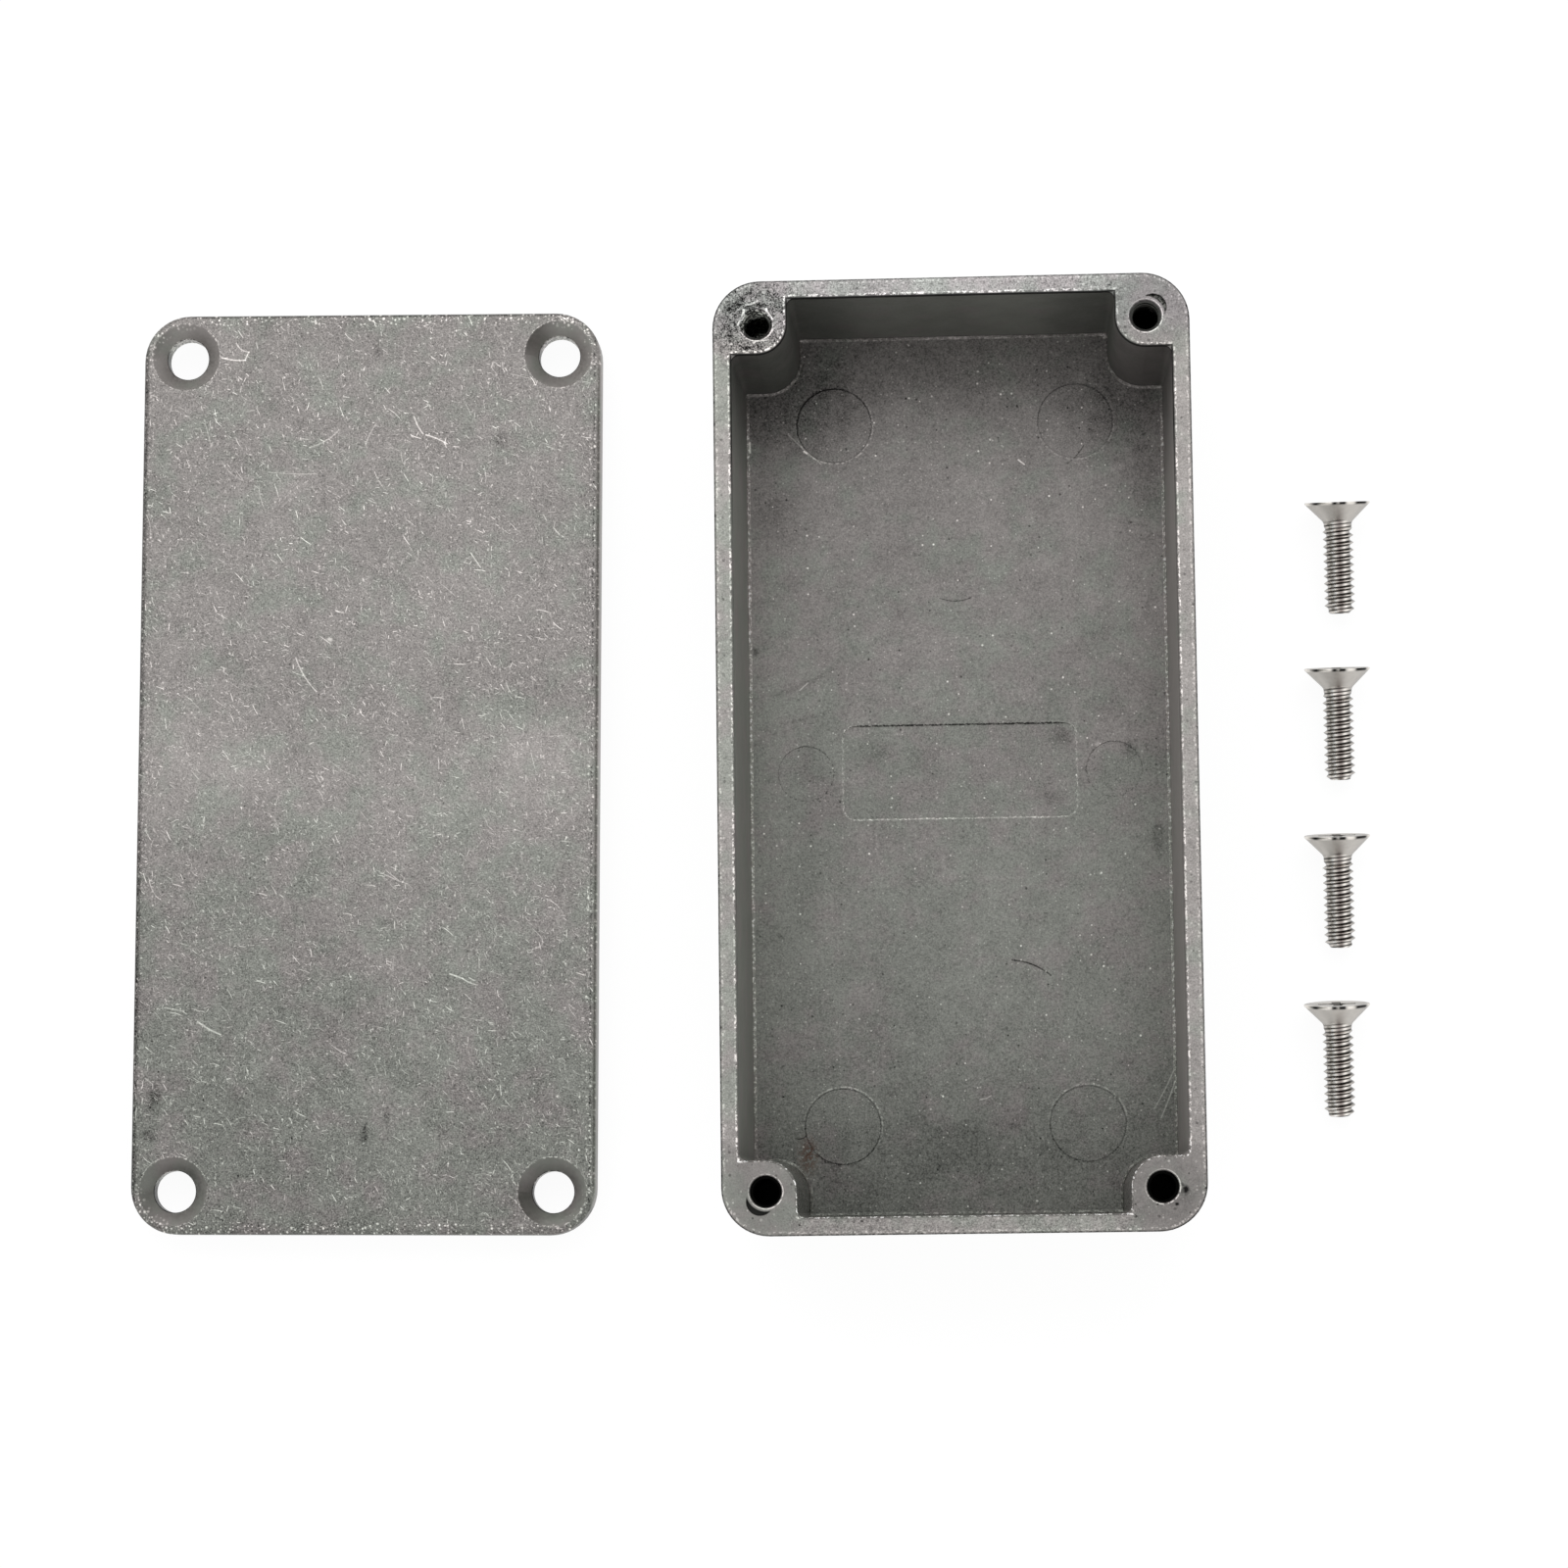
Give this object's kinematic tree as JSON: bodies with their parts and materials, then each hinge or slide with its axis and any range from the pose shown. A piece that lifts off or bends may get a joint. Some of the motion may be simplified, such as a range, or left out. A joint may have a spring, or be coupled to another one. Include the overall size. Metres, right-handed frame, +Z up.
{
  "type": "die cast aluminium box",
  "caption": "Small rectangular die cast aluminium enclosure, shown open: drafted base with corner bosses, flat lid with countersunk holes, and its countersunk screws laid beside it.",
  "frame": {"origin": "centre of the base's flat bottom face", "axes": "+Z up out of the open base, +Y along the base's long side, +X across it, from the lid towards the screws"},
  "size_m": [0.1341, 0.1012, 0.0217],
  "materials": {
    "base_casting": "as-cast, tumbled, faintly mottled grey with bright edges",
    "lid_casting": "as-cast, tumbled, covered in fine bright scratches",
    "screw_nickel": "bright nickel plate"
  },
  "bodies": {
    "root": {"enclosure_base": "base_casting", "lid": "lid_casting", "screw_1": "screw_nickel", "screw_2": "screw_nickel", "screw_3": "screw_nickel", "screw_4": "screw_nickel"}
  },
  "joints": []
}
